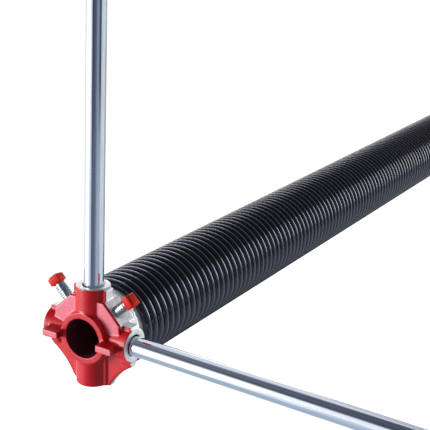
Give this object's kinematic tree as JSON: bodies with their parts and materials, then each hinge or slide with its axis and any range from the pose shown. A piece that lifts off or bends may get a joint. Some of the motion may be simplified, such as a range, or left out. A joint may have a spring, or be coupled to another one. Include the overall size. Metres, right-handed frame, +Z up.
{
  "type": "garage door torsion spring",
  "caption": "Close-wound torsion spring on a winding cone with set screws and winding bars, and a stationary cone at its far end.",
  "frame": {"origin": "centre of the winding cone's bore at its front face", "axes": "+Y along the torsion shaft into the spring, +X along the side winding bar, +Z up along the upright winding bar"},
  "size_m": [0.5068, 0.7279, 0.5268],
  "materials": {
    "spring_wire": "gloss black oil-tempered wire",
    "red_casting": "cast aluminium, front painted red",
    "screw_steel": "zinc-plated thread, head painted red",
    "bar_steel": "bright zinc-plated steel"
  },
  "bodies": {
    "root": {"torsion_spring": "spring_wire", "winding_cone": "red_casting", "set_screw_left": "screw_steel", "set_screw_right": "screw_steel", "winding_bar_upright": "bar_steel", "winding_bar_side": "bar_steel", "stationary_cone": "red_casting"}
  },
  "joints": []
}
